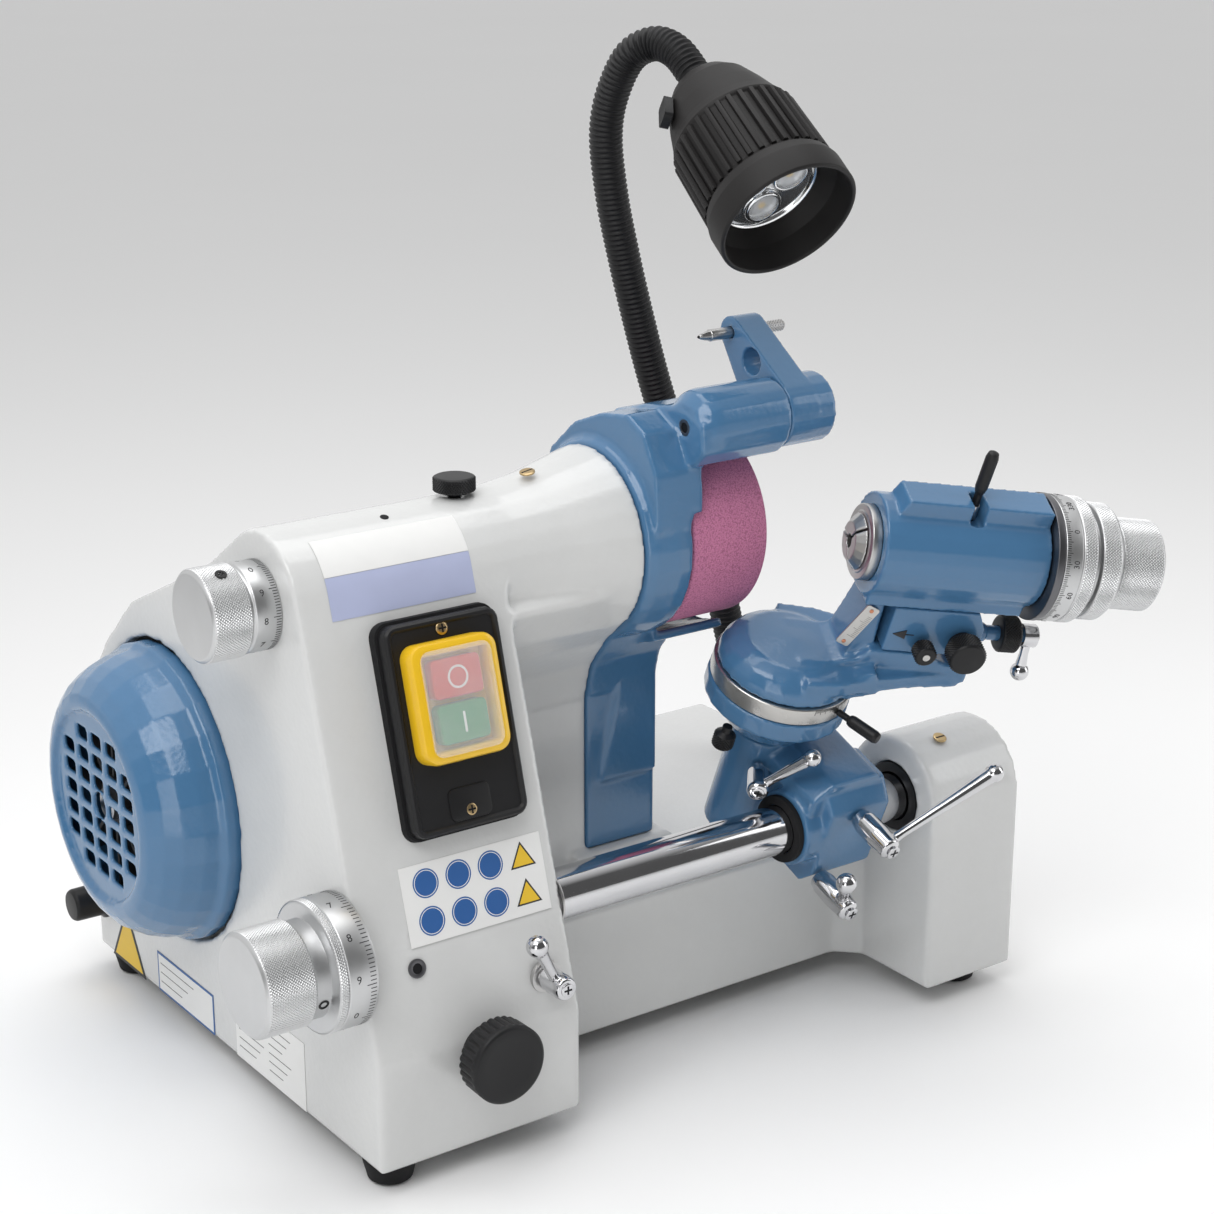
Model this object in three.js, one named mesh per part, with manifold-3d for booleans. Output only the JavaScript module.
// Universal tool and cutter grinder: a bench machine with a motor-driven grinding spindle, a workhead on a
// rocking carriage, a wheel dresser and a gooseneck lamp.
// Millimetres, +Z up, +X along the grinding spindle towards the wheel, -Y towards the operator.
import * as THREE from 'three';
import { mergeVertices } from 'three/addons/utils/BufferGeometryUtils.js';
import Module from 'manifold-3d';

const wasm = await Module();
wasm.setup();

// ---------------------------------------------------------------- driving dimensions
const GAP = 0.3;                      // air between touching pieces
const FINENESS = 0.6;                 // facets kept of each round shape's full count
const FLOOR = 14;                     // underside of the casting: the height of the rubber feet
const HOUSING = { width: 128, depth: 350, kneeZ: 75, slope: 0.28, wall: 9 };
const SPINDLE = { y: 110, z: 303 };   // grinding spindle, parallel to X
const MOTOR = { y: 239, z: 155, holeR: 91 };
const BAR = { y: 33, z: 129, r: 14.5, start: 26, end: 425 };
const BED = { front: 68, rear: 311, right: 450, top: 92 };
const PILLAR = { left: 380.5, front: -6, rear: 73, r: 39.5 };
const NECK_END = 211.6;               // where the neck meets the wheelhead
const WHEEL = { r: 57, left: 243.6, right: 297 };
const DRESSER = { y: 60, z: 373.6, r: 21, split: 302, end: 334 };
const PIN = { y: 98, z: 413.5, r: 3.1 };
const ROCK = THREE.MathUtils.degToRad(22);      // carriage rocked forward about the bar
const SWIVEL = THREE.MathUtils.degToRad(-23.7); // workhead arm swung towards the operator
const CARRIAGE_X = 305;               // swivel axis, along the bar
const POST_BACK = 48;                 // swivel axis, behind the bar in the rocked frame
const HEAD_H = 176;                   // workhead axis above the bar
const TILT = { x: 92, z: 125 };       // tilt pivot in the arm's frame
const LAMP_FOOT = { x: 420, y: 213, r: 22 };
const LAMP_NECK = new THREE.Vector3(306, 137.4, 554.1);
const LAMP_AIM = new THREE.Vector3(-0.052, -0.803, -0.594).normalize();
const HOSE_R = 10;
const HOSE_BEND = 0.405;              // share of the hose's length below its bending point
const HOSE_GAP = 0.0045;              // share left open on each side of that point

const WHITE = [0xd9dad7, 0.35, 0.0];
const BLUE = [0x3f74a8, 0.3, 0.0];
const BLACK = [0x1b1b1c, 0.5, 0.0];
const CHROME = [0xd8d8da, 0.12, 1.0];
const STEEL = [0xa9abac, 0.35, 1.0];
const ALUMINIUM = [0xc6c8ca, 0.4, 0.9];
const RUBBER = [0x222223, 0.8, 0.0];

// ---------------------------------------------------------------- helpers
function solid(geometry) {
  const bare = geometry.clone();
  bare.deleteAttribute('normal');
  bare.deleteAttribute('uv');
  const merged = mergeVertices(bare, 1e-4);
  const vertProperties = new Float32Array(merged.attributes.position.array);
  const triVerts = new Uint32Array(merged.index.array);
  return new wasm.Manifold(new wasm.Mesh({ numProp: 3, vertProperties, triVerts }));
}

function surface(body) {
  const mesh = body.getMesh();
  const geometry = new THREE.BufferGeometry();
  geometry.setAttribute('position', new THREE.BufferAttribute(new Float32Array(mesh.vertProperties), 3));
  geometry.setIndex(new THREE.BufferAttribute(new Uint32Array(mesh.triVerts), 1));
  return geometry;
}

function join(...geometries) {
  return surface(geometries.map(solid).reduce((a, b) => a.add(b)));
}

function cut(geometry, ...tools) {
  return surface(tools.map(solid).reduce((a, b) => a.subtract(b), solid(geometry)));
}

// Turns a shape made about +Y so that it stands about the named axis.
function alignFromY(geometry, axis) {
  if (axis === 'x') geometry.rotateZ(-Math.PI / 2);
  if (axis === 'z') geometry.rotateX(Math.PI / 2);
  return geometry;
}

// Revolves a closed [radius, station] outline about an axis through (a, b), the axis's other two coordinates.
function turned(axis, a, b, outline, sides = 32) {
  const closed = outline.every(([r]) => r > 0) ? [...outline, outline[0]] : outline;
  const points = closed.map(([r, t]) => new THREE.Vector2(r, t));
  const facets = Math.max(12, Math.round(sides * FINENESS));
  const geometry = alignFromY(new THREE.LatheGeometry(points, facets), axis);
  if (axis === 'x') geometry.translate(0, a, b);
  if (axis === 'y') geometry.translate(a, 0, b);
  if (axis === 'z') geometry.translate(a, b, 0);
  const body = solid(geometry);
  return body.volume() < 0 ? flipped(geometry) : geometry;
}

function flipped(geometry) {
  const index = geometry.index.array;
  for (let i = 0; i < index.length; i += 3) [index[i], index[i + 1]] = [index[i + 1], index[i]];
  return geometry;
}

function rod(axis, a, b, r, from, to, sides = 24) {
  return turned(axis, a, b, [[0, to], [r, to], [r, from], [0, from]].reverse(), sides);
}

function ring(axis, a, b, outer, inner, from, to, sides = 32) {
  return turned(axis, a, b, [[inner, from], [outer, from], [outer, to], [inner, to]], sides);
}

function outlineShape(outline) {
  if (outline instanceof THREE.Shape) return outline;
  return new THREE.Shape(outline.map(([u, v]) => new THREE.Vector2(u, v)));
}

// Extrudes an outline along an axis. The outline is in (Y, Z) for x, in (X, Z) for y and in (X, Y) for z.
function prism(axis, outline, from, to) {
  const geometry = new THREE.ExtrudeGeometry(outlineShape(outline), {
    depth: to - from, bevelEnabled: false, curveSegments: 3,
  });
  if (axis === 'x') {
    geometry.applyMatrix4(new THREE.Matrix4().set(0, 0, 1, from, 1, 0, 0, 0, 0, 1, 0, 0, 0, 0, 0, 1));
  } else if (axis === 'y') {
    geometry.applyMatrix4(new THREE.Matrix4().set(1, 0, 0, 0, 0, 0, -1, to, 0, 1, 0, 0, 0, 0, 0, 1));
  } else {
    geometry.translate(0, 0, from);
  }
  return geometry;
}

function block(x0, x1, y0, y1, z0, z1) {
  const geometry = new THREE.BoxGeometry(x1 - x0, y1 - y0, z1 - z0);
  return geometry.translate((x0 + x1) / 2, (y0 + y1) / 2, (z0 + z1) / 2);
}

function roundedRectangle(width, height, radius) {
  const shape = new THREE.Shape();
  const [w, h] = [width / 2 - radius, height / 2 - radius];
  shape.absarc(w, h, radius, 0, Math.PI / 2);
  shape.absarc(-w, h, radius, Math.PI / 2, Math.PI);
  shape.absarc(-w, -h, radius, Math.PI, 1.5 * Math.PI);
  shape.absarc(w, -h, radius, 1.5 * Math.PI, 2 * Math.PI);
  return shape;
}

// The outer outline of two circles and their common tangents.
function capsule(u0, v0, r0, u1, v1, r1, steps = 10) {
  const heading = Math.atan2(v1 - v0, u1 - u0);
  const lean = Math.acos((r0 - r1) / Math.hypot(u1 - u0, v1 - v0));
  const points = [];
  for (let i = 0; i <= steps; i += 1) {
    const a = heading + lean + ((2 * Math.PI - 2 * lean) * i) / steps;
    points.push([u0 + r0 * Math.cos(a), v0 + r0 * Math.sin(a)]);
  }
  for (let i = 0; i <= steps; i += 1) {
    const a = heading - lean + (2 * lean * i) / steps;
    points.push([u1 + r1 * Math.cos(a), v1 + r1 * Math.sin(a)]);
  }
  return points;
}

function arc(u, v, r, fromDeg, toDeg, steps = 8) {
  const points = [];
  for (let i = 0; i <= steps; i += 1) {
    const a = THREE.MathUtils.degToRad(fromDeg + ((toDeg - fromDeg) * i) / steps);
    points.push([u + r * Math.cos(a), v + r * Math.sin(a)]);
  }
  return points;
}

// A round bar of changing radius from one point to another: stations are [radius, share of the length].
function taperBetween(from, to, stations, sides = 8) {
  const span = new THREE.Vector3().subVectors(to, from);
  const length = span.length();
  const outline = [[0, 0], ...stations.map(([r, share]) => [r, share * length]), [0, length]];
  const geometry = new THREE.LatheGeometry(outline.map(([r, t]) => new THREE.Vector2(r, t)), sides);
  const turn = new THREE.Quaternion().setFromUnitVectors(new THREE.Vector3(0, 1, 0), span.normalize());
  geometry.applyQuaternion(turn).translate(from.x, from.y, from.z);
  return solid(geometry).volume() < 0 ? flipped(geometry) : geometry;
}

const grinder = new THREE.Group();
const carriageFrame = new THREE.Group();
const headFrame = new THREE.Group();
const panelFrame = new THREE.Group();

function add(parent, name, geometry, [color, roughness, metalness]) {
  const mesh = new THREE.Mesh(geometry, new THREE.MeshStandardMaterial({ color, roughness, metalness }));
  mesh.name = name;
  parent.add(mesh);
  return mesh;
}

// ---------------------------------------------------------------- base casting
const slopeY = (z) => HOUSING.slope * (z - HOUSING.kneeZ);
const housingOutline = [
  [0, FLOOR], [HOUSING.depth, FLOOR], [HOUSING.depth, 43], [331, 190], [325, 212], [314, 226],
  [275, 261], [223, 285], [169, 311],
  ...arc(SPINDLE.y, SPINDLE.z, 40, 62, 160, 8),
  [0, HOUSING.kneeZ],
];
const cavityOutline = [
  [12, 0], [HOUSING.depth - 11, 0], [HOUSING.depth - 11, 43], [321, 186], [306, 217], [270, 250],
  [218, 274], [164, 300],
  ...arc(SPINDLE.y, SPINDLE.z, 30, 62, 160, 8),
  [12, HOUSING.kneeZ + 2],
];
// Front of the neck wall and of the wheelhead column: from the column face up into the round neck.
const columnFront = [[114, 204], [108, 226], [92, 246], [74, 262]];
const neckWallOutline = [
  [114, BED.top - 1], [190, BED.top - 1], [190, 240], [160, 290], [110, 303], [62, 285],
  ...[...columnFront].reverse(),
];

function baseCasting() {
  const neckProfile = [
    [0, 100], [40, 100], [41, 140], [45, 170], [51, 194], [55.6, NECK_END], [0, NECK_END],
  ];
  const pillarShape = [
    [PILLAR.front, FLOOR], [PILLAR.rear, FLOOR],
    ...arc((PILLAR.front + PILLAR.rear) / 2, 128, PILLAR.r, 0, 180, 12),
  ];
  const outside = join(
    prism('x', housingOutline, 0, HOUSING.width),
    turned('x', SPINDLE.y, SPINDLE.z, neckProfile, 40),
    prism('x', neckWallOutline, HOUSING.width - 20, NECK_END),
    block(HOUSING.width - 20, BED.right, BED.front, BED.rear, FLOOR, BED.top),
    block(200, 272, 107, 190, BED.top - 10, BED.top + 15),
    prism('x', pillarShape, PILLAR.left, BED.right),
    prism('z', [[PILLAR.left - 14, BED.front + 1], [PILLAR.left + 1, BED.front - 14],
      [PILLAR.left + 1, BED.front + 1]], FLOOR, BED.top),
  );
  return cut(
    outside,
    prism('x', cavityOutline, HOUSING.wall, HOUSING.width - HOUSING.wall),
    rod('x', MOTOR.y, MOTOR.z, MOTOR.holeR, -5, HOUSING.wall + 1, 48),
    block(HOUSING.width + 8, BED.right - 10, BED.front + 10, BED.rear - 10, 0, BED.top - 12),
    block(HOUSING.width + 8, NECK_END - 9, 124, 180, BED.top - 20, 238),
    block(PILLAR.left + 9, BED.right - 10, PILLAR.front + 10, BED.front - 10, 0, 96),
    rod('x', SPINDLE.y, SPINDLE.z, 25.4, HOUSING.width - 20, NECK_END + 5, 32),
    rod('x', SPINDLE.y, SPINDLE.z, 8.4, -5, HOUSING.wall + 1, 16),
    rod('x', BAR.y, BAR.z, BAR.r + 0.5, 16, HOUSING.width + 5, 24),
    rod('x', BAR.y, BAR.z, 8.4, -5, 30, 16),
    rod('x', BAR.y, BAR.z, BAR.r + 0.5, PILLAR.left - 5, BED.right - 8, 24),
    rod('x', BAR.y, BAR.z, 21.5, PILLAR.left - 5, PILLAR.left + 9, 28),
    rod('z', 121, SPINDLE.y, 3.9, 320, 350, 12),
    rod('y', 65, 70, 4.4, -5, 20, 12),
    rod('y', 108, 98, 4.4, -5, 25, 12),
  );
}
add(grinder, 'base_casting', baseCasting(), WHITE);

function foot(x, y) {
  const outline = [[0, 0], [11, 0], [12.5, 1.5], [15, 12], [15, FLOOR - GAP], [0, FLOOR - GAP]];
  return turned('z', x, y, outline, 20);
}
add(grinder, 'foot_front_left', foot(16, 20), RUBBER);
add(grinder, 'foot_front_right', foot(429, 22), RUBBER);
add(grinder, 'foot_rear_left', foot(16, 330), RUBBER);
add(grinder, 'foot_rear_right', foot(429, 292), RUBBER);

// The feet under the housing stand on pads that reach in from its rim.
function footPad(x, y) {
  return block(x - 7, x + 24, y - 20, y + 20, FLOOR, FLOOR + 8);
}
// A cast cradle across the housing carries the motor.
const motorCradle = cut(block(HOUSING.wall - 1, HOUSING.width - HOUSING.wall + 1, 205, 273, 56, 86),
  rod('x', MOTOR.y, MOTOR.z, 78 + GAP, 0, 130, 32));
const castingMesh = grinder.getObjectByName('base_casting');
castingMesh.geometry = join(castingMesh.geometry, footPad(16, 28), footPad(16, 322), motorCradle,
  block(405, 445, 0, 60, FLOOR, FLOOR + 8), block(405, 445, 265, 305, FLOOR, FLOOR + 8));

// ---------------------------------------------------------------- wheelhead
function wheelhead() {
  const ringProfile = [[26, NECK_END + GAP], [56, NECK_END + GAP], [58.5, 217], [60, 232], [59, 242], [26, 242]];
  const column = [
    [114, BED.top + 15 + GAP], [176, BED.top + 15 + GAP], [176, 240], [168, 290], [110, 303], [62, 285],
    ...[...columnFront].reverse(),
  ];
  const shoulder = [
    [52, 318], [110, 303], [168, 318], [158, 346], [134, 366], [108, 376], [82, 380], [66, 372], [54, 350],
  ];
  const trayOutline = [
    ...arc(SPINDLE.y, SPINDLE.z, 66.5, -114, -55, 8), ...arc(SPINDLE.y, SPINDLE.z, 61, -55, -114, 8),
  ];
  const web = [
    ...arc(SPINDLE.y, SPINDLE.z, 61, 130, 70, 6),
    [126, 372], [98, 380], [70, 384], [42, 378], [41, 362], [50, 353],
  ];
  const gusset = [[NECK_END + 10, 150], [262, 150], [262, 222], [268, 232], [292, 238], [292, 240], [242, 244]];
  const body = join(
    turned('x', SPINDLE.y, SPINDLE.z, ringProfile, 48),
    prism('x', column, NECK_END + GAP, 262),
    prism('x', shoulder, 217, 250),
    prism('x', trayOutline, 238, 289),
    prism('x', web, 240, 300),
    turned('x', DRESSER.y, DRESSER.z, [[0, 241], [14, 241], [20, 247], [DRESSER.r, 252],
      [DRESSER.r, DRESSER.split - GAP], [0, DRESSER.split - GAP]], 32),
    prism('y', gusset, 112, 132),
  );
  return cut(
    body,
    rod('x', SPINDLE.y, SPINDLE.z, 60.8, 242, 330, 48),
    rod('x', SPINDLE.y, SPINDLE.z, 26, 200, 250, 32),
    rod('x', DRESSER.y, DRESSER.z, 8.5, 262, 310, 20),
    rod('x', DRESSER.y, DRESSER.z, 4, 230, 246, 6),
  );
}
add(grinder, 'wheelhead_casting', wheelhead(), BLUE);

const quill = ring('x', SPINDLE.y, SPINDLE.z, 25, 18.3, 104, 236, 32);
// A yoke reaches round the belt to the feed screw's nut.
const yokePlate = block(40, 46, SPINDLE.y - 26, SPINDLE.y + 12, SPINDLE.z - 33, SPINDLE.z + 10);
const yokeArm = block(40, 112, SPINDLE.y - 30, SPINDLE.y - 23, SPINDLE.z - 33, SPINDLE.z - 25);
const yokeTail = block(106, 112, SPINDLE.y - 26, SPINDLE.y - 10, SPINDLE.z - 31, SPINDLE.z - 13);
const SCREW_R = 6;
const quillSleeve = cut(join(quill, yokePlate, yokeArm, yokeTail),
  rod('x', SPINDLE.y, SPINDLE.z, SCREW_R + GAP, 35, 50, 16), rod('x', SPINDLE.y, SPINDLE.z, 18.3, 100, 240, 32));
add(grinder, 'spindle_quill', quillSleeve, STEEL);

// The spindle carries its keyed belt pulley at the rear and its wheel flange at the front.
const shaftProfile = [
  [0, 62], [9.7, 62], [9.7, 78], [21, 78], [21, 97], [9.7, 97], [9.7, 236.5], [23, 236.5],
  [23, WHEEL.left - GAP], [9.7, WHEEL.left - GAP], [9.7, 262], [8, 262.5], [8, 288], [0, 288],
];
add(grinder, 'wheel_spindle', turned('x', SPINDLE.y, SPINDLE.z, shaftProfile, 28), STEEL);
const bearing = (from) => ring('x', SPINDLE.y, SPINDLE.z, 18, 10, from, from + 14, 24);
add(grinder, 'rear_spindle_bearing', bearing(112), STEEL);
add(grinder, 'front_spindle_bearing', bearing(218), STEEL);
const wheelProfile = [
  [10.2, WHEEL.left], [WHEEL.r, WHEEL.left], [WHEEL.r, WHEEL.right - 1], [WHEEL.r - 1, WHEEL.right],
  [40, WHEEL.right], [36, 268], [10.2, 268],
];
add(grinder, 'grinding_wheel', turned('x', SPINDLE.y, SPINDLE.z, wheelProfile, 56), [0xc4628e, 0.9, 0.0]);
const nutProfile = [[8.3, 268 + GAP], [24, 268 + GAP], [24, 272], [15, 272.5], [15, 283], [8.3, 283]];
add(grinder, 'wheel_nut', turned('x', SPINDLE.y, SPINDLE.z, nutProfile, 18), STEEL);

// ---------------------------------------------------------------- drive
const motorProfile = [
  [10.5, 1.4], [70, 1.4], [78, 8], [78, 62], [64, 72], [10.5, 72],
];
add(grinder, 'motor_body', turned('x', MOTOR.y, MOTOR.z, motorProfile, 32), STEEL);
// The motor shaft carries its keyed belt pulley.
const motorShaft = [
  [0, -38], [9.5, -38], [9.5, 78], [40, 78], [40, 97], [9.5, 97], [9.5, 99], [0, 99],
];
add(grinder, 'motor_shaft', turned('x', MOTOR.y, MOTOR.z, motorShaft, 36), STEEL);
const blade = (angle) => {
  const vane = block(-33, -16, -1.2, 1.2, 14, 62).rotateX(angle);
  return vane.translate(0, MOTOR.y, MOTOR.z);
};
const vanes = Array.from({ length: 8 }, (_, i) => blade((i * Math.PI) / 4));
const fanHub = ring('x', MOTOR.y, MOTOR.z, 16, 9.8, -34, -14, 24);
const fanDisc = ring('x', MOTOR.y, MOTOR.z, 62, 12, -17, -14, 32);
add(grinder, 'motor_fan', join(fanHub, fanDisc, ...vanes), BLACK);

function fanCover() {
  const shell = [
    [62, 1], [76, 1], [89, 4], [89, -6], [85.5, -9], [84, -18], [80, -29], [74, -38], [66, -44.5], [61, -46],
    [57, -46], [57, -43], [8, -43], [8, -40], [58, -40], [64, -40], [71, -35], [77, -27], [81, -17], [82.5, -8],
    [84, -4], [84, 0], [76, -2.5], [62, -2.5],
  ];
  const slots = [];
  for (let column = -2; column <= 2; column += 1) {
    for (let row = -3; row <= 3; row += 1) {
      const [y, z] = [column * 19, row * 13];
      if (Math.hypot(Math.abs(y) + 7, Math.abs(z) + 3) < 55 && Math.hypot(y, z) > 12) {
        slots.push(block(-50, -30, MOTOR.y + y - 7, MOTOR.y + y + 7, MOTOR.z + z - 4, MOTOR.z + z + 4));
      }
    }
  }
  return cut(turned('x', MOTOR.y, MOTOR.z, shell, 48), ...slots);
}
add(grinder, 'fan_cover', fanCover(), BLUE);

const BELT_IN = { top: 21 + GAP, low: 40 + GAP };
const beltOuter = capsule(MOTOR.y, MOTOR.z, BELT_IN.low + 3, SPINDLE.y, SPINDLE.z, BELT_IN.top + 3, 16);
const beltInner = capsule(MOTOR.y, MOTOR.z, BELT_IN.low, SPINDLE.y, SPINDLE.z, BELT_IN.top, 16);
add(grinder, 'drive_belt', cut(prism('x', beltOuter, 80, 95), prism('x', beltInner, 70, 105)), RUBBER);

// ---------------------------------------------------------------- feed dials on the left wall
const upperDial = [
  [0, -GAP], [24.3, -GAP], [24.3, -15], [23, -16], [25.2, -17], [25.2, -39], [24, -40], [0, -40],
];
// Each dial is keyed to its feed screw.
const dialBody = join(turned('x', SPINDLE.y, SPINDLE.z, upperDial, 40),
  rod('x', SPINDLE.y, SPINDLE.z, 8, -10, 12, 16),
  rod('x', SPINDLE.y, SPINDLE.z, SCREW_R - GAP, 10, 58, 16));
add(grinder, 'wheel_feed_dial', dialBody, ALUMINIUM);
const lowerDial = [
  [0, 80], [5.5, 80], [5.5, 12], [8, 12], [8, -GAP], [36, -GAP], [36, -22], [22, -22], [22, -30],
  [27.5, -30], [28.5, -31], [28.5, -59], [27.5, -60], [0, -60],
];
add(grinder, 'bar_feed_dial', turned('x', BAR.y, BAR.z, lowerDial, 40), ALUMINIUM);
const barProfile = [
  [0, 100], [5.8, 100], [5.8, BAR.start], [BAR.r, BAR.start], [BAR.r, BAR.end], [0, BAR.end],
];
add(grinder, 'slide_bar', turned('x', BAR.y, BAR.z, barProfile, 32), CHROME);

// ---------------------------------------------------------------- screws, knobs and levers of the housing
const thumbTop = SPINDLE.z + 41;
const thumbscrew = [[0, 328.6], [3.5, 328.6], [3.5, thumbTop], [6, thumbTop], [6, thumbTop + 1.5],
  [12, thumbTop + 1.5], [12, thumbTop + 10], [0, thumbTop + 10]];
add(grinder, 'quill_clamp_screw', turned('z', 121, SPINDLE.y, thumbscrew, 24), BLACK);
const KNOB_X = 65;
const KNOB_Z = 70;
const fluted = new THREE.Shape();
const FLUTES = 12;
for (let i = 0; i < FLUTES * 2; i += 1) {
  const a = (i * Math.PI) / FLUTES;
  const r = 21.8 + 0.9 * Math.cos(FLUTES * a);
  if (i === 0) fluted.moveTo(r, 0);
  else fluted.lineTo(r * Math.cos(a), r * Math.sin(a));
}
const knobGrip = prism('y', fluted, -25, -7).translate(KNOB_X, 0, KNOB_Z);
const knobStem = turned('y', KNOB_X, KNOB_Z, [[0, 8], [4, 8], [4, -GAP], [15, -GAP], [15, -8], [0, -8]], 20);
add(grinder, 'bed_clamp_knob', join(knobGrip, knobStem), BLACK);

// A clamp lever: a hub with a tapered arm that ends in a ball.
function clampLever(hub, ballAt, armFrom, ballR = 5.2) {
  const arm = taperBetween(armFrom, ballAt, [[3.0, 0], [2.7, 0.25], [4.3, 0.92], [4.3, 1]]);
  const ball = new THREE.SphereGeometry(ballR, 10, 8).translate(ballAt.x, ballAt.y, ballAt.z);
  return join(hub, arm, ball);
}
const sideHub = turned('y', 108, 98, [[0, 16], [4, 16], [4, slopeY(98) - 2.8], [7, slopeY(98) - 2.8],
  [7, -14], [5.5, -16], [0, -16]], 18);
const sideBall = new THREE.Vector3(90, -14, 128);
const sideLever = clampLever(sideHub, sideBall, new THREE.Vector3(106, -8, 101), 6);
add(grinder, 'bar_clamp_lever', sideLever, CHROME);

// ---------------------------------------------------------------- switch and panels on the sloping front
const slopeAngle = Math.atan(HOUSING.slope);
panelFrame.position.set(HOUSING.width / 2, slopeY(240), 240);
panelFrame.rotation.x = Math.PI / 2 - slopeAngle;
grinder.add(panelFrame);
const plate = (w, h, r, x, y, z0, z1) => prism('z', roundedRectangle(w, h, r), z0, z1).translate(x, y, 0);
add(panelFrame, 'switch_plate', plate(72, 115, 8, 11, 0, GAP, 10), BLACK);
const BEZEL = { x: 9.5, y: 13, w: 53, h: 64, top: 21 };
const bezelHole = plate(38, 50, 3, BEZEL.x, BEZEL.y, 5, 30);
const bezel = cut(plate(BEZEL.w, BEZEL.h, 8, BEZEL.x, BEZEL.y, 10.3, BEZEL.top), bezelHole);
const buttonPlate = (y) => plate(30, 21, 3, BEZEL.x, BEZEL.y + y, 12.6, BEZEL.top - 0.8);
add(panelFrame, 'switch_bezel', bezel, [0xf2c01c, 0.4, 0.0]);
add(panelFrame, 'stop_button', buttonPlate(12), [0xc8322e, 0.4, 0.0]);
add(panelFrame, 'start_button', buttonPlate(-12), [0x2c9a4b, 0.4, 0.0]);
const cover = plate(42, 56, 5, BEZEL.x, BEZEL.y, BEZEL.top + GAP, BEZEL.top + GAP + 2);
add(panelFrame, 'switch_window', cover, [0xe8eef0, 0.1, 0.0]);

// ---------------------------------------------------------------- wheel dresser
function dresserArm() {
  const swingArm = capsule(DRESSER.y, DRESSER.z, DRESSER.r - 0.5, PIN.y, PIN.z, 9.5, 12);
  const body = join(
    turned('x', DRESSER.y, DRESSER.z, [[0, 266], [8, 266], [8, DRESSER.split + 1], [0, DRESSER.split + 1]], 20),
    rod('x', DRESSER.y, DRESSER.z, DRESSER.r - 0.5, DRESSER.split, DRESSER.end, 32),
    prism('x', swingArm, DRESSER.split, DRESSER.split + 20),
  );
  const slit = prism('x', capsule(79, 401, 0.6, PIN.y, PIN.z, 0.6, 2), 290, 345);
  return cut(body, rod('x', PIN.y, PIN.z, PIN.r + GAP, 290, 345, 16), rod('x', 78, 400, 8, 290, 345, 20), slit);
}
add(grinder, 'dresser_arm', dresserArm(), BLUE);
const diamond = turned('x', PIN.y, PIN.z, [[0, 278], [1.6, 280], [PIN.r, 286], [PIN.r, 341], [0, 341]], 16);
add(grinder, 'dresser_diamond', diamond, STEEL);

// ---------------------------------------------------------------- carriage on the bar, in its rocked frame
carriageFrame.position.set(CARRIAGE_X, BAR.y, BAR.z);
carriageFrame.rotation.x = ROCK;
grinder.add(carriageFrame);

function carriage() {
  const octagon = [
    [-23, -22], [-14, -34], [12, -34], [22, -22], [24, 22], [14, 36], [-12, 36], [-23, 24],
  ];
  const neck = [[-6, 20], [48, 20], [48, 30], [40, 40], [6, 40], [-6, 30]];
  const body = join(
    rod('x', 0, 0, 23, -9, 48, 32),
    prism('x', octagon, 3, 48),
    prism('y', neck, -14, 34),
    rod('z', 0, POST_BACK, 19, -36, 38, 32),
    block(-1, 16, 10, POST_BACK, -22, 34),
  );
  return cut(
    body,
    rod('x', 0, 0, BAR.r + 0.4, -20, 60, 32),
    rod('z', 0, POST_BACK, 12.4, -50, 50, 24),
  );
}
add(carriageFrame, 'carriage', carriage(), BLUE);
// A collar round the bar seals the carriage's bore and follows it along the bar.
add(carriageFrame, 'carriage_collar', ring('x', 0, 0, 20.5, BAR.r + 0.4, -13, -9 - GAP, 28), BLACK);

const leverHub = (x, z, near, far) => turned('y', x, z,
  [[0, near], [6, near], [7.6, near - 6], [7.6, near - 18], [6.4, far + 3], [6.4, far], [0, far]], 18);
const wedgeLever = clampLever(leverHub(24, 20, -24.4, -58), new THREE.Vector3(90, -54, 60),
  new THREE.Vector3(28, -50, 22.5), 5.6);
add(carriageFrame, 'slide_clamp_lever', wedgeLever, CHROME);
const rockLever = clampLever(leverHub(8, -24, -24.4, -58), new THREE.Vector3(-5, -56, 4),
  new THREE.Vector3(6, -46, -20), 6);
add(carriageFrame, 'rock_clamp_lever', rockLever, CHROME);

// The post lever's hub points forward and left from the post housing.
const postHub = turned('y', 0, 0, [[0, -19.5], [4, -19.5], [6.6, -26], [6.6, -43], [5.4, -45], [0, -45]], 16);
const postBall = new THREE.Vector3(24, -44, 33);
const postLever = clampLever(postHub, postBall, new THREE.Vector3(4, -39, 4), 5);
postLever.rotateZ(THREE.MathUtils.degToRad(-36)).translate(0, POST_BACK, 22);
add(carriageFrame, 'post_clamp_lever', postLever, CHROME);

const postProfile = [
  [0, -32], [12, -32], [12, 39], [26, 44], [38, 58], [43, 61], [43, 73], [0, 73],
];
const post = turned('z', 0, POST_BACK, postProfile, 36);
add(carriageFrame, 'swivel_post', post, BLUE);
const postKnob = turned('z', 0, POST_BACK, [[0, -32.4], [5, -32.4], [5, -38], [13, -39], [13, -47], [0, -47]], 24);
add(carriageFrame, 'post_lift_knob', postKnob, BLACK);
const stopKnob = turned('z', -36, POST_BACK - 6, [[0, 52], [3, 52], [3, 48], [6.5, 46], [6.5, 37], [0, 37]], 16);
add(carriageFrame, 'swivel_stop_knob', stopKnob, BLACK);
add(carriageFrame, 'angle_ring', ring('z', 0, POST_BACK, 42, 14, 73.3, 84.4, 40), STEEL);
const lockHandle = turned('x', 0, 0, [[0, 42.4], [2, 42.4], [2, 50], [3.8, 52], [3.8, 70], [2.5, 72], [0, 72]], 12);
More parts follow.
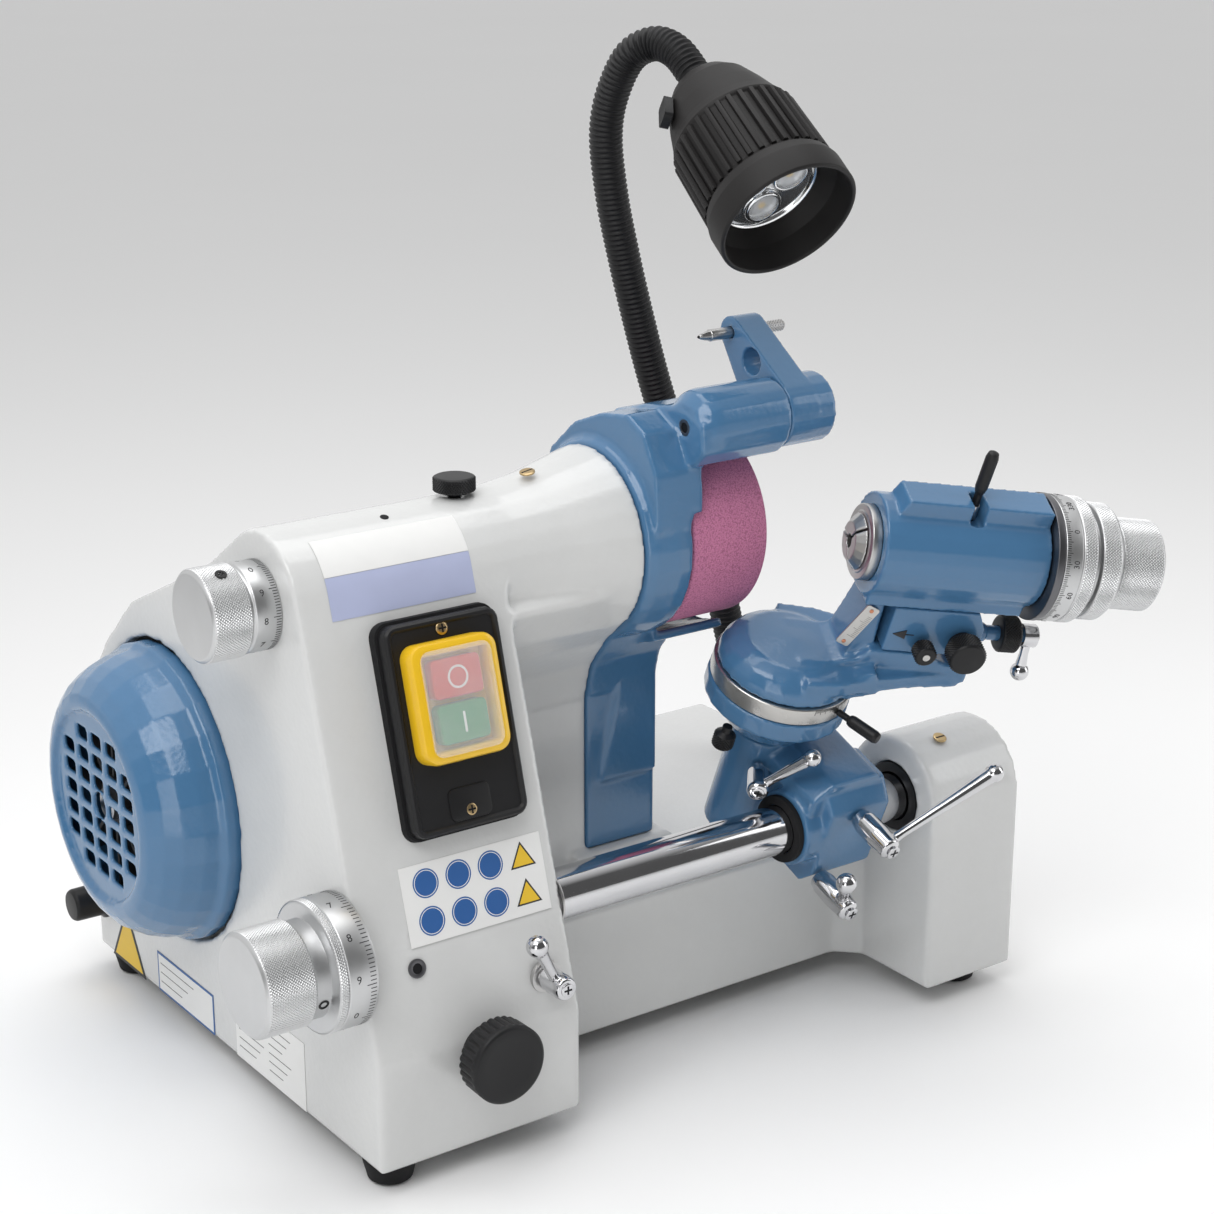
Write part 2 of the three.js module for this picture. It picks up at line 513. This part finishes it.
lockHandle.rotateZ(THREE.MathUtils.degToRad(-74)).translate(0, POST_BACK, 78);
add(carriageFrame, 'ring_lock_handle', lockHandle, BLACK);

// ---------------------------------------------------------------- arm and workhead, in the swivelled frame
headFrame.position.set(0, POST_BACK, 0);
headFrame.rotation.z = SWIVEL;
carriageFrame.add(headFrame);

function swivelArm() {
  const dome = [[0, 84.7], [41, 84.7], [40, 91], [36, 97.5], [28, 102.5], [0, 105]];
  const beam = [
    [0, 84.7], [30, 84.7], [104, 95], [104, 103], [94, 114.7], [40, 114.7], [34, 108], [20, 103.4], [0, 104],
  ];
  const root = [[0, 84.7], [30, 84.7], [48, 90], [44, 106], [30, 101], [0, 100]];
  // Seen from above, the arm narrows from the dome's full width to the tilt block's.
  const taper = [
    [0, -39], [22, -37], [44, -30], [74, -23], [100, -20],
    [100, 20], [74, 22], [44, 29], [22, 37], [0, 39],
  ];
  const cheek = [[36, 98], [98, 104], [104, 110], [104, 128], [98, 137], [86, 137], [60, 134], [38, 130]];
  const upright = [[26, 90], [44, 92], [42, 146], [36, 146], [31, 122], [26, 102]];
  const body = join(
    turned('z', 0, 0, dome, 36),
    prism('y', beam, -20, 20),
    prism('y', root, -30, 30),
    prism('z', taper, 91.5, 101),
    prism('y', cheek, 10, 20),
    prism('y', upright, -14, 20),
  );
  return cut(
    body,
    turned('y', TILT.x, TILT.z, [[0, -40], [18, -40], [18, 9.7], [0, 9.7]], 28),
    turned('y', TILT.x, TILT.z, [[0, -40], [4.4, -40], [4.4, 40], [0, 40]], 14),
  );
}
add(headFrame, 'swivel_arm', swivelArm(), BLUE);

const BARREL = { r: 29.5, from: 25.5, to: 125 };
function tiltBlock() {
  const outline = [[46, 146], [46, 115.3], [104, 115.3], [104, 135], [98, 146]];
  const tailScrew = [[0, 100], [6, 100], [6, 112], [4.6, 112], [4.6, 146], [0, 146]];
  const body = join(prism('y', outline, -20, 9.4), turned('x', -4, 122, tailScrew, 12));
  return cut(body, turned('y', TILT.x, TILT.z, [[0, -40], [4.4, -40], [4.4, 40], [0, 40]], 14));
}
add(headFrame, 'tilt_block', tiltBlock(), BLUE);
// The clamp knob's own bolt is the tilt pivot.
const tiltKnob = turned('y', TILT.x, TILT.z, [[0, 26], [8, 26], [8, 20.6], [4, 20.6], [4, -20.4], [8, -20.4],
  [8, -24], [11.2, -25], [11.2, -36], [10, -37], [0, -37]], 24);
add(headFrame, 'tilt_clamp_knob', tiltKnob, BLACK);
const smallKnob = turned('y', 68, 122, [[0, -20.3], [3.5, -20.3], [3.5, -23], [6.6, -24], [6.6, -33], [0, -33]], 16);
add(headFrame, 'relief_stop_knob', smallKnob, BLACK);

function workhead() {
  const rib = [[27, 190], [124.6, 190], [124.6, 213], [37, 213]];
  const body = join(
    rod('x', 0, HEAD_H, BARREL.r, BARREL.from, BARREL.to, 40),
    prism('y', rib, -11, 11),
    block(27, 122, -20, 20, 146.4, 172),
  );
  const slot = block(76, 84, -13, 5, 199, 220);
  return cut(body, rod('x', 0, HEAD_H, 20.8, 10, 140, 32), slot,
    rod('z', 80, 0, 2.6, 190, 205, 12));
}
add(headFrame, 'workhead_body', workhead(), BLUE);
const workSpindleProfile = [
  [12.6, 19], [21.8, 19], [21.8, 25.2], [20.4, 25.2], [20.4, 171], [12.6, 171],
];
add(headFrame, 'work_spindle', turned('x', 0, HEAD_H, workSpindleProfile, 32), STEEL);
function collet() {
  const body = turned('x', 0, HEAD_H, [
    [4, 13.4], [11, 13.4], [16.6, 18.4], [12.2, 19], [12.2, 70], [4, 70]], 30);
  const slits = [0, 1, 2].map((i) => {
    const slit = block(0, 50, -0.7, 0.7, 1, 20).rotateX((i * 2 * Math.PI) / 3 + 0.5);
    return slit.translate(0, 0, HEAD_H);
  });
  return cut(body, ...slits);
}
add(headFrame, 'collet', collet(), STEEL);
add(headFrame, 'index_plate', ring('x', 0, HEAD_H, 37, 20.7, 125.4, 130, 40), BLACK);
const collarProfile = [[20.7, 130.3], [36.6, 130.3], [35.6, 145], [35, 146], [35, 151], [20.7, 151]];
add(headFrame, 'index_collar', turned('x', 0, HEAD_H, collarProfile, 40), ALUMINIUM);
const lockRing = [[20.7, 153], [33, 153], [34, 154], [34, 167], [28, 171], [20.7, 171]];
add(headFrame, 'spindle_lock_ring', turned('x', 0, HEAD_H, lockRing, 40), ALUMINIUM);
const drawKnob = [
  [0, 80], [10, 80], [10, 171.3], [26, 171.3], [26.6, 172], [26.6, 198], [25.6, 199], [0, 199],
];
add(headFrame, 'drawbar_knob', turned('x', 0, HEAD_H, drawKnob, 36), ALUMINIUM);
const pinProfile = [[0, 197.4], [2.3, 197.4], [2.3, 216], [3.8, 219], [3.8, 241], [2.6, 244], [0, 244]];
add(headFrame, 'index_pin', turned('z', 80, 0, pinProfile, 12), BLACK);
add(headFrame, 'tail_nut', ring('x', -4, 122, 11, 4.9, 121, 133, 24), BLACK);
const tailHub = ring('x', -4, 122, 7, 4.9, 136, 145, 18);
const tailArm = taperBetween(new THREE.Vector3(140.5, -4, 116), new THREE.Vector3(140.5, -10, 101),
  [[3, 0], [2.6, 0.3], [3.6, 1]]);
const tailBall = new THREE.SphereGeometry(5.4, 10, 8).translate(140.5, -10.5, 100);
add(headFrame, 'tail_clamp_lever', join(tailHub, tailArm, tailBall), CHROME);

// ---------------------------------------------------------------- gooseneck lamp
const lampFoot = turned('z', LAMP_FOOT.x, LAMP_FOOT.y, [
  [0, BED.top + GAP], [LAMP_FOOT.r, BED.top + GAP], [LAMP_FOOT.r, BED.top + 5], [15, BED.top + 8],
  [13, BED.top + 18], [0, BED.top + 18],
], 24);
add(grinder, 'lamp_foot', lampFoot, BLACK);
const hoseStations = [
  [LAMP_FOOT.x, LAMP_FOOT.y, BED.top + 20], [LAMP_FOOT.x, LAMP_FOOT.y, 119], [413, 214.5, 142], [402.3, 215, 168],
  [391, 215, 207], [375.5, 215.5, 253], [358, 216.5, 299], [336, 216.5, 359], [322, 215, 401],
  [309.5, 213, 441], [298, 209.5, 480], [290, 204, 518], [289.5, 196, 542], [294, 183, 564.5],
  [301, 170, 571], [304.5, 155, 567.5],
];
const hoseLine = new THREE.CatmullRomCurve3(
  [...hoseStations.map((station) => new THREE.Vector3(...station)), LAMP_NECK], false, 'centripetal',
);
function hose(from, to, steps) {
  const points = [];
  for (let i = 0; i <= steps; i += 1) points.push(hoseLine.getPointAt(from + ((to - from) * i) / steps));
  const section = new THREE.Shape();
  section.absarc(0, 0, HOSE_R, 0, 2 * Math.PI);
  return new THREE.ExtrudeGeometry(section, {
    extrudePath: new THREE.CatmullRomCurve3(points, false, 'centripetal'), steps, curveSegments: 5,
  });
}
add(grinder, 'lamp_hose_lower', hose(0, HOSE_BEND - HOSE_GAP, 10), RUBBER);
add(grinder, 'lamp_hose_upper', hose(HOSE_BEND + HOSE_GAP, 0.995, 22), RUBBER);

const lampFrame = new THREE.Group();
lampFrame.position.copy(LAMP_NECK);
lampFrame.quaternion.setFromUnitVectors(new THREE.Vector3(0, 0, 1), LAMP_AIM);
grinder.add(lampFrame);
const shellProfile = [
  [0, 3], [11.5, 3], [19.5, 8], [26, 17], [31, 30], [35, 42], [36.6, 47], [38.2, 49], [39.6, 92], [41.8, 100],
  [41.8, 116], [39, 116], [37.5, 100], [28, 88], [0, 88],
];
add(lampFrame, 'lamp_shell', turned('z', 0, 0, shellProfile, 36), BLACK);
add(lampFrame, 'lamp_lens', turned('z', 0, 0, [[0, 88.4], [26.5, 88.4], [29, 92], [0, 93]], 28),
  [0xe9edf2, 0.15, 0.3]);
const rocker = block(-6, 6, -2.5, 2.5, -8, 8).rotateX(0.45).translate(0, -32.4, 23.9).rotateZ(-Math.PI / 2);
add(lampFrame, 'lamp_rocker', rocker, BLACK);

// ---------------------------------------------------------------- origin under the middle of the machine
grinder.updateMatrixWorld(true);
const bounds = new THREE.Box3().setFromObject(grinder, true);
const centre = bounds.getCenter(new THREE.Vector3());
grinder.position.set(-centre.x, -centre.y, -bounds.min.z);

export default grinder;
